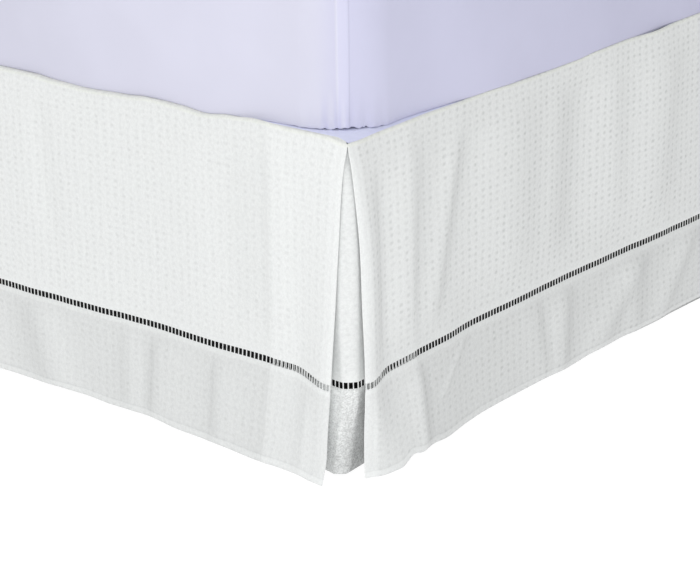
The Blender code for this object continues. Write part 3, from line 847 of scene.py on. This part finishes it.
def make_mattress(material):
    """The mattress in its fitted cover: a soft block with a gathered hem and corner seams."""
    low, high = MATTRESS_BOX
    outline, normals, seams = rounded_outline(HALF_WIDTH - COVER_CORNER[0],
                                              HALF_LENGTH - COVER_CORNER[1], COVER_RADIUS, 84, 0.010)
    push, distance = cover_push(outline)
    spots = outline + normals * push[:, None]
    ridge = 0.0009 * ease((SEAM_BAND - np.abs(seams)) / 0.0016 + 0.5)
    lift = sum(rise * np.exp(-((seams - place) / width) ** 2) for place, rise, width in HEM_LIFTS)
    gathers = 0.0010 * np.exp(-np.abs(seams) / 0.06) * np.sin(
        seams * 2 * math.pi / 0.0155 + 1.4 * np.sin(seams * 83))
    soft = sum(depth * np.sin(seams * waves + start) for depth, waves, start in COVER_WAVES)
    top = high.z - low.z - COVER_TOP            # where the sides end, above the cover's hem
    profile = [*COVER_HEM, *((0.0, height) for height in np.linspace(0.0075, 0.0165, 4))]
    profile += [(-0.0024 * math.sin(math.pi * step / 27), height)
                for step, height in enumerate(np.linspace(0.022, top, 27))]
    profile += arc(COVER_TOP, COVER_TOP, top, 0.006 - COVER_TOP, 0.45 * math.pi, 0, 10)
    rings, woven = [], []
    for inset, height in profile:
        side = ease((0.215 - height) / 0.03) if inset < 0.02 else 0.0
        out = side * (ridge + soft + gathers * ease((0.05 - height) / 0.05)) - inset
        out = out + 0.35 * lift * ease((0.0055 - height) / 0.005)
        flat = spots + normals * out[:, None]
        rise = lift * ease((0.016 - height) / 0.014) * ease((0.014 - inset) / 0.006) - COVER_SETTLE
        sag = sag_at(*flat.T) * ease((0.030 - height) / 0.028)
        rings.append(stacked(*flat.T, low.z + height + rise - sag))
        woven.append(stacked(seams, height, distance))
    last = rings[-1]
    for share in np.linspace(0, 1, 24)[1:-1]:
        ring = last * (1 - share, 1 - share, 1)
        dimple = 0.0010 * (math.sin(share * 21) * np.sin(seams * 3.1) - 1) * ease(share * 4)
        ring[:, 2] += 0.006 * ease(share * 2.4) + dimple
        rings.append(ring)
        woven.append(stacked(seams, 0.25, distance))
    cover = ring_body("mattress_cover", rings, woven, material, 50)
    finish_piece(cover, "mattress")


def make_base(material):
    """The upholstered base: a padded box with piping round its top and bottom edges."""
    low, high = BASE_BOX
    outline, normals, seams = rounded_outline(high.x, (high.y - low.y) / 2, BASE_RADIUS, 24, 0.020)
    middle = np.array(((high.x + low.x) / 2, (high.y + low.y) / 2))
    tall = high.z - low.z
    quarter = math.pi / 2
    lower, upper = (arc(0.0, PIPING[0], height, PIPING[1], 0.0, math.pi, 9)
                    for height in (0.0125, tall - 0.0125))
    sides = [(-0.0012 * math.sin(math.pi * (step + 0.5) / 22) ** 0.5, height)
             for step, height in enumerate(np.linspace(0.030, tall - 0.030, 22))]
    profile = [(0.060, 0.0006), (0.016, 0.0), *arc(0.010, 0.010, 0.008, 0.008, 0.2, quarter, 5),
               *lower, (0.0012, 0.0165), *sides, (0.0012, tall - 0.0165), *upper,
               *arc(0.009, 0.009, tall - 0.009, -0.009, quarter - 0.2, 0, 5), (0.030, tall)]
    seam = 0.0009 * np.exp(-(seams / 0.0022) ** 2)
    soft = 0.0005 * np.sin(seams * 23 + 1.0) + 0.0004 * np.sin(seams * 57)
    rings, woven = [], []
    for inset, height in profile:
        on_side = ease((height - 0.018) / 0.006) * ease((tall - 0.018 - height) / 0.006)
        spots = outline + normals * ((soft - seam) * on_side - inset)[:, None] + middle
        rings.append(stacked(*spots.T, low.z + height))
        woven.append(stacked(seams, height, seams))
    base = ring_body("base_upholstery", rings, woven, material, 40)
    finish_piece(base, "base")


# A turned foot's outline: (radius, share of its height), from the floor up
FOOT_TURNING = ((0.0188, 0), (0.0202, 0.012), (0.0208, 0.06), (0.0204, 0.12), (0.019, 0.128),
                (0.019, 0.15), (0.0222, 0.16), (0.0232, 0.2), (0.0246, 0.4), (0.0259, 0.6),
                (0.0266, 0.7), (0.0262, 0.722), (0.025, 0.735), (0.025, 0.78), (0.0262, 0.793),
                (0.0274, 0.81), (0.028, 0.86), (0.028, 0.94), (0.0274, 0.975), (0.0262, 0.996))


def make_foot(name, material):
    """One turned wooden foot, in the place of its solid."""
    low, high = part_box(name)
    middle = (low + high) / 2
    turn = np.arange(56) / 56 * 2 * math.pi
    rings = []
    for radius, share in FOOT_TURNING:
        height = low.z + 0.0002 + (high.z - low.z - 0.0006) * share
        rings.append(stacked(middle.x + radius * np.cos(turn), middle.y + radius * np.sin(turn), height))
    finish_piece(ring_body("turned_" + name, rings, np.zeros_like(rings), material, 30), name)


# ---------------------------------------------------------------- materials

class Graph:
    """Short calls for building a node material."""

    def __init__(self, name):
        self.material = bpy.data.materials.new(name)
        self.material.use_nodes = True
        self.nodes = self.material.node_tree.nodes
        self.links = self.material.node_tree.links
        self.shader = self.nodes["Principled BSDF"]

    def put(self, socket, value):
        """Sets a socket from another socket, a number or a colour."""
        if isinstance(value, bpy.types.NodeSocket):
            self.links.new(value, socket)
        else:
            socket.default_value = value

    def add(self, kind, inputs=None, output=0, **options):
        """A node of that kind; returns the named or numbered output."""
        node = self.nodes.new("ShaderNode" + kind)
        for key, value in options.items():
            setattr(node, key, value)
        for key, value in (inputs or {}).items():
            self.put(node.inputs[key], value)
        return node.outputs[output]

    def maths(self, operation, *values):
        return self.add("Math", dict(enumerate(values)), operation=operation)

    def plus(self, *values):
        return reduce(lambda total, value: self.maths("ADD", total, value), values)

    def times(self, *values):
        return reduce(lambda total, value: self.maths("MULTIPLY", total, value), values)

    def minus(self, value, less):
        return self.maths("SUBTRACT", value, less)

    def apart(self, value, place):
        """How far value is from place, either way."""
        return self.maths("ABSOLUTE", self.minus(value, place))

    def split(self, vector):
        """The three parts of a vector."""
        return self.add("SeparateXYZ", {0: vector}, output=slice(None))

    def weave(self):
        """A cloth mesh's weave coordinate."""
        return self.add("Attribute", output="Vector", attribute_name="weave")

    def place(self):
        """The place on the object."""
        return self.add("TexCoord", output="Object")

    def range(self, value, low, high, to_low=0.0, to_high=1.0):
        """value from low to high, eased, as to_low to to_high."""
        return self.add("MapRange", {"Value": value, "From Min": low, "From Max": high,
                                     "To Min": to_low, "To Max": to_high},
                        interpolation_type="SMOOTHSTEP")

    def colour(self, *parts):
        """A colour of red, green and blue."""
        return self.add("CombineColor", dict(enumerate(parts)))

    def noise(self, vector, scale, detail=2.0, roughness=0.5):
        return self.add("TexNoise", {"Vector": vector, "Scale": scale, "Detail": detail,
                                     "Roughness": roughness}, output="Fac")

    def bump(self, height, distance, strength=1.0, normal=None):
        inputs = {"Height": height, "Distance": distance, "Strength": strength}
        if normal is not None:
            inputs["Normal"] = normal
        return self.add("Bump", inputs)

    def finish(self, colour, normal=None, roughness=0.85, sheen=0.0):
        """Wires up the shader; uniform values are set on its own sockets."""
        self.put(self.shader.inputs["Base Color"], colour)
        self.put(self.shader.inputs["Roughness"], roughness)
        self.shader.inputs["Sheen Weight"].default_value = sheen
        self.shader.inputs["Specular IOR Level"].default_value = 0.25
        if normal is not None:
            self.put(self.shader.inputs["Normal"], normal)
        return self.material


WOOD_TONES = ((0.022, 0.060), (0.013, 0.036), (0.009, 0.022))  # red, green, blue: dark to light
COVER_COLOUR = (0.616, 0.616, 0.727)
COVER_SIDE_SHADE = (-0.068, -0.066, 0.004)  # painted shade, darker and bluer, on the bed's long sides
DOT_PITCH = (0.0122, 0.00805)
DOT_SIZE = (0.0028, 0.0021)  # half width and half height
DOT_DRIFT = (0.0012, 0.0007)  # how far the weave wanders


def pique_material(name, white, dots, slit_hem, band, grain=0.0, painted_hem_shadow=0.0):
    """White dotted pique: fine weave, sunk dots, painted shade on the double band and lighter hems.

    The numbers are changes of tone: of the dots, the hem down a slit, the band's painted shade (grain makes
    its weave coarser to see) and the painted shade of a thin dark line under the hem, far from the corner.
    """
    graph = Graph(name)
    weave = graph.weave()
    along, height, slit = graph.split(weave)
    from_row = graph.apart(height, LADDER)

    wander = graph.noise(weave, 45.0, 1.0)
    steps, squares = [], []
    for value, pitch, size, drift in zip((along, height), DOT_PITCH, DOT_SIZE, DOT_DRIFT):
        moved = graph.plus(value, graph.range(wander, 0.2, 0.8, -drift, drift))
        place = graph.maths("DIVIDE", moved, pitch)
        steps.append(graph.maths("FLOOR", place))
        offset = graph.times(graph.minus(graph.maths("FRACT", place), 0.5), pitch / size)
        squares.append(graph.times(offset, offset))
    own = graph.add("TexWhiteNoise", {"Vector": graph.add("CombineXYZ", dict(enumerate(steps)))}, "Value")
    dot = graph.times(
        graph.range(graph.maths("SQRT", graph.plus(*squares)), 1.6, 0.1),
        graph.range(own, 0.0, 1.0, 0.5, 1.0),                       # no two dots are alike
        graph.range(graph.noise(weave, 38.0, 2.0), 0.30, 0.62, 0.5, 1.0),
        graph.range(slit, 0.009, 0.017),                            # none on the hem down a slit
        graph.range(slit, 0.200, 0.280, 0.85, 1.0),
        graph.range(from_row, 0.0085, 0.0115),                      # none beside the hemstitch
        graph.range(height, LADDER, LADDER - 0.001, 1.0, 0.75))

    below = graph.range(height, LADDER + 0.0005, LADDER - 0.0005)
    near_slit = graph.range(slit, 0.109, 0.105)
    # painted shade: a thin dark line along the hem's lower edge, far from the corner
    under = graph.times(graph.range(height, HEM + 0.0028, HEM + 0.0010), graph.range(along, 0.50, 0.74))
    # painted shade on the band below the hemstitch, a little less near a slit
    painted_band_shade = graph.minus(band, graph.times(near_slit, 0.040))
    slub = graph.noise(weave, 520.0, 3.0, 0.6)
    mottle = graph.noise(weave, 210.0, 2.0, 0.6)
    coarse, patchy = (graph.plus(1.0, graph.times(below, share)) for share in (grain, grain * 0.35))
    changes = (
        (near_slit, 0.045),                                         # the gusset lies behind
        (graph.range(from_row, 0.0095, 0.0060), 0.035),             # painted highlight on both borders of the hemstitch
        (graph.times(below, graph.range(from_row, 0.0108, 0.0088)), 0.050),     # a stronger painted highlight on the lower one
        (graph.range(height, HEM + HEM_FOLD + 0.0005, HEM + HEM_FOLD - 0.0005), 0.060),
        (graph.range(graph.apart(height, HEM + HEM_FOLD), 0.0011, 0.0004), -0.05),
        (under, -painted_hem_shadow),
        (dot, -dots),
        (coarse, graph.range(slub, 0.3, 0.7, -0.03, 0.03)),
        (patchy, graph.range(mottle, 0.3, 0.7, -0.035, 0.035)),
        (graph.range(slit, 0.019, 0.011), slit_hem),
    )
    # the mesh's shade attribute adds its painted light and shade to the tone
    tone = graph.plus(graph.minus(1.0, graph.times(below, painted_band_shade)),
                      *(graph.times(part, change) for part, change in changes),
                      graph.add("Attribute", output="Fac", attribute_name="shade"))
    cream = graph.range(height, DROP - 0.0050, DROP - 0.0015, 1.0, 0.955)
    colour = graph.colour(graph.times(tone, white * 0.985), graph.times(tone, white * 1.005),
                          graph.times(tone, cream, white))
    warp, weft = (graph.maths("SINE", graph.times(value, 2 * math.pi / pitch))
                  for value, pitch in ((along, 0.0016), (height, 0.0014)))
    relief = graph.plus(graph.times(warp, weft, 0.16), graph.times(slub, 0.25))
    return graph.finish(colour, graph.bump(graph.minus(relief, dot), 0.0004, 0.6), 0.88, sheen=0.15)


def plain_cloth(name, colour, scale, relief=0.0002, mottle=0.03):
    """A smooth woven cloth of one colour, with its thread and slight mottling."""
    graph = Graph(name)
    place = graph.place()
    shade = graph.range(graph.noise(place, 9.0, 3.0), 0.3, 0.7, 1 - mottle, 1 + mottle)
    tinted = graph.colour(*(graph.times(shade, part) for part in colour))
    return graph.finish(tinted, graph.bump(graph.noise(place, scale, 2.0), relief, 0.5), 0.85, sheen=0.1)


def cover_material():
    """The mattress cover: a fine lilac cloth, lighter up the corner seams where they double it and with a
    painted highlight there, and painted shade away from the corners and on the long sides.
    """
    graph = Graph("mattress_cover_cloth")
    seam, height, distance = graph.split(graph.weave())
    from_seam = graph.maths("ABSOLUTE", seam)
    # lighter up each corner seam: the doubled cloth, with a painted highlight
    band = graph.range(from_seam, SEAM_BAND + 0.0008, SEAM_BAND - 0.0008)
    line = graph.range(graph.maths("ABSOLUTE", graph.minus(seam, SEAM_BAND + 0.0006)), 0.0010, 0.0003)
    change = graph.minus(graph.times(band, 0.060), graph.times(line, 0.06))
    # painted shade: darker further from the corner
    change = graph.minus(change, graph.range(distance, 0.15, 0.60, 0.0, 0.09))
    place = graph.place()
    mottle = graph.range(graph.noise(place, 7.0, 3.0), 0.3, 0.7, -0.02, 0.02)
    tone = graph.plus(graph.times(change, graph.range(height, 0.215, 0.175)), graph.plus(1.0, mottle))
    # painted shade: darker and bluer on the bed's long sides
    facing, _, _ = graph.split(graph.add("TexCoord", output="Normal"))
    on_long_side = graph.range(graph.maths("ABSOLUTE", facing), 0.3, 0.8)
    colour = graph.colour(*(graph.times(graph.plus(tone, graph.times(on_long_side, side_shade)), part)
                            for part, side_shade in zip(COVER_COLOUR, COVER_SIDE_SHADE)))
    crumple = graph.bump(graph.noise(place, 22.0, 3.0, 0.45), 0.004, 0.25)
    normal = graph.bump(graph.noise(place, 900.0, 2.0), 0.00012, 0.4, crumple)
    return graph.finish(colour, normal, 0.8, sheen=0.1)


def upholstery_material():
    """The base's charcoal cloth: a coarse plain weave with a little nap. Near black, partly standing in for
    the deep shade behind the skirt's holes.
    """
    graph = Graph("base_cloth_weave")
    flecks, broad = graph.noise(graph.place(), 420.0, 3.0, 0.65), graph.noise(graph.place(), 11.0, 3.0)
    shade = graph.plus(graph.range(flecks, 0.3, 0.7, 0.008, 0.018),
                       graph.range(broad, 0.3, 0.7, -0.002, 0.002))
    colour = graph.colour(shade, shade, graph.times(shade, 1.1))
    return graph.finish(colour, graph.bump(flecks, 0.0006, 0.7), 0.92, sheen=0.05)


def wood_material():
    """Dark stained wood, its grain running up the foot."""
    graph = Graph("dark_wood_grain")
    stretched = graph.add("VectorMath", {0: graph.place(), 1: (110.0, 110.0, 9.0)}, operation="MULTIPLY")
    grain = graph.noise(stretched, 1.6, 4.0, 0.6)
    rings = graph.maths("SINE", graph.times(grain, 40.0))
    shade = graph.range(rings, -1.0, 1.0)
    colour = graph.colour(*(graph.range(rings, -1.0, 1.0, *tones) for tones in WOOD_TONES))
    rough = graph.range(grain, 0.3, 0.7, 0.34, 0.5)
    return graph.finish(colour, graph.bump(shade, 0.0002, 0.4), rough)


# ---------------------------------------------------------------- light and camera

def aim(azimuth, elevation, roll=0.0):
    """The turn of a lamp or camera that looks from there; degrees, azimuth 0 at the foot end."""
    turns = ((azimuth, "Z"), (90 - elevation, "X"), (roll, "Z"))
    around, down, over = (Matrix.Rotation(math.radians(angle), 4, axis) for angle, axis in turns)
    return around @ down @ over


def add_light(name, azimuth, elevation, distance, size, power):
    """A soft square lamp that looks at the bed's near corner."""
    lamp = bpy.data.lights.new(name, "AREA")
    lamp.size = size
    lamp.energy = power
    made = bpy.data.objects.new(name, lamp)
    bpy.context.scene.collection.objects.link(made)
    target = Matrix.Translation((HALF_WIDTH * 0.6, -HALF_LENGTH * 0.6, DROP / 2))
    made.matrix_world = target @ aim(azimuth, elevation) @ Matrix.Translation((0, 0, distance))


def make_lights():
    world = bpy.data.worlds.new("studio")
    bpy.context.scene.world = world
    world.use_nodes = True
    background = world.node_tree.nodes["Background"]
    background.inputs["Color"].default_value = (1, 1, 1, 1)
    background.inputs["Strength"].default_value = 0.47
    add_light("left_light", -42, 20, 6.0, 2.2, 56)
    add_light("front_light", 38, 25, 6.0, 2.2, 136)
    add_light("top_light", 0, 89, 5.0, 4.0, 54)
    add_light("back_light", 205, 30, 6.0, 3.0, 110)


def make_floor():
    bpy.ops.mesh.primitive_plane_add(size=60, location=(0, 0, 0))
    floor = bpy.context.object
    floor.name = "floor"
    graph = Graph("pale_floor")
    shade = graph.range(graph.noise(graph.place(), 0.8, 2.0), 0.3, 0.7, 0.09, 0.11)
    colour = graph.colour(shade, shade, shade)
    graph.shader.inputs["Emission Color"].default_value = (1, 1, 1, 1)
    graph.shader.inputs["Emission Strength"].default_value = 0.97
    floor.data.materials.append(graph.finish(colour, None, 0.9))


def make_camera():
    """The photograph's view of the near foot corner."""
    data = bpy.data.cameras.new("camera")
    data.sensor_width = 36
    data.lens = 123.95
    camera = bpy.data.objects.new("camera", data)
    bpy.context.scene.collection.objects.link(camera)
    place = (HALF_WIDTH + 1.5007, -HALF_LENGTH - 1.8334, 1.0774)
    camera.matrix_world = Matrix.Translation(place) @ aim(39.2586, 19.8854, -0.8948)
    bpy.context.scene.camera = camera


make_camera()
make_lights()
make_floor()
bpy.context.scene.view_settings.view_transform = "Standard"

# One pique in three copies. The gusset's whiter cloth is painted light, the bands' different darkening is
# painted shade, and the foot panel's fainter dots are partly painted for the different light on that face.
pique = pique_material("white_pique_weave", 0.715, 0.22, 0.08, 0.085, painted_hem_shadow=0.60)
foot_pique = pique_material("foot_pique_weave", 0.715, 0.11, 0.03, 0.115)
gusset_pique = pique_material("gusset_pique_weave", 0.775, 0.08, 0.0, 0.190, 4.0)
for side in SIDES:
    make_panel(side, foot_pique if side.kind == "foot" else pique)
make_gusset("corner_gusset_right", 1, gusset_pique)
make_gusset("corner_gusset_left", -1, gusset_pique)
make_deck(plain_cloth("deck_cloth_plain", (0.68, 0.70, 0.87), 900))
make_mattress(cover_material())
make_base(upholstery_material())
wood = wood_material()
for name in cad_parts:
    if name.startswith("base_foot"):
        make_foot(name, wood)
